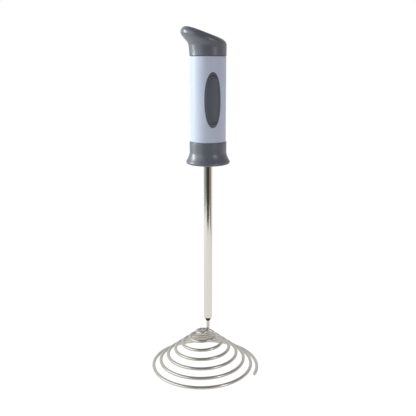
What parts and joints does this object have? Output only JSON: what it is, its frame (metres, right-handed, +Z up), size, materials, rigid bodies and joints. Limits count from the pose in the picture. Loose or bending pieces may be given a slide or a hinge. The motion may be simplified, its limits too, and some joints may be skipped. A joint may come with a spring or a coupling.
{
  "type": "milk frother",
  "caption": "Hand-held cordless milk frother: cylindrical grip with an oval press button, pull-off beaked cap, flared collar, long tube and a conical spiral wire whisk.",
  "frame": {"origin": "middle of the bounding box at its bottom, on the surface that the spiral whisk stands on", "axes": "+Z up along the tube, from the whisk to the cap; the press button faces -Y and the cap beak points to -X"},
  "size_m": [0.0826, 0.08, 0.2556],
  "materials": {
    "dark_plastic": "satin moulded, smooth",
    "pale_plastic": "satin, pale blue-grey",
    "polished_tube": "polished",
    "wire_steel": "bright drawn wire",
    "steel": "plain",
    "brass": "plain",
    "black_plastic": "matt",
    "white_plastic": "matt",
    "rubber": "matt",
    "cell_jacket": "printed jacket, plain",
    "copper": "wound copper and contacts",
    "magnet": "sintered",
    "board": "circuit board",
    "wire_red": "insulated lead",
    "wire_black": "insulated lead"
  },
  "bodies": {
    "handle": {"grip_sleeve": "pale_plastic", "lower_collar": "dark_plastic", "shaft_tube": "polished_tube", "lower_bush": "black_plastic", "upper_bush": "brass", "tube_seal": "rubber", "tube_ring": "steel", "motor_can": "steel", "motor_front_bush": "brass", "motor_end_cap": "white_plastic", "motor_magnet_1": "magnet", "motor_magnet_2": "magnet", "motor_brush_1": "copper", "motor_brush_2": "copper", "motor_mount": "black_plastic", "motor_screw_1": "steel", "motor_screw_2": "steel", "motor_damper": "rubber", "battery_cell_1": "cell_jacket", "battery_cell_2": "cell_jacket", "battery_tray": "white_plastic", "negative_spring": "steel", "positive_contact": "brass", "switch_board": "board", "switch_housing": "black_plastic", "motor_lead_1": "wire_red", "motor_lead_2": "wire_black", "switch_lead": "wire_red"},
    "cap": {"top_cap": "dark_plastic", "cap_bridge": "brass", "cap_contact_carrier": "black_plastic", "cap_seal": "rubber"},
    "button": {"power_button": "dark_plastic", "button_spring": "steel"},
    "rotor": {"spiral_whisk": "wire_steel", "whisk_ferrule": "brass", "drive_shaft": "steel", "shaft_coupling": "black_plastic", "motor_shaft": "steel", "motor_armature": "copper", "motor_commutator": "copper"}
  },
  "joints": [
    {"name": "cap_lift", "type": "slide", "parent": "handle", "child": "cap", "axis": [0, 0, 1], "range_m": [0, 0.03]},
    {"name": "button_press", "type": "slide", "parent": "handle", "child": "button", "axis": [0, 1, 0], "range_m": [0, 0.001], "stiffness_N_per_m": 1500, "springref_m": -0.0008, "deforming": ["button_spring"]},
    {"name": "whisk_spin", "type": "hinge", "parent": "handle", "child": "rotor", "pos_m": [0.00192, -0.00224, 0.0422], "axis": [0, 0, 1], "continuous": true}
  ]
}
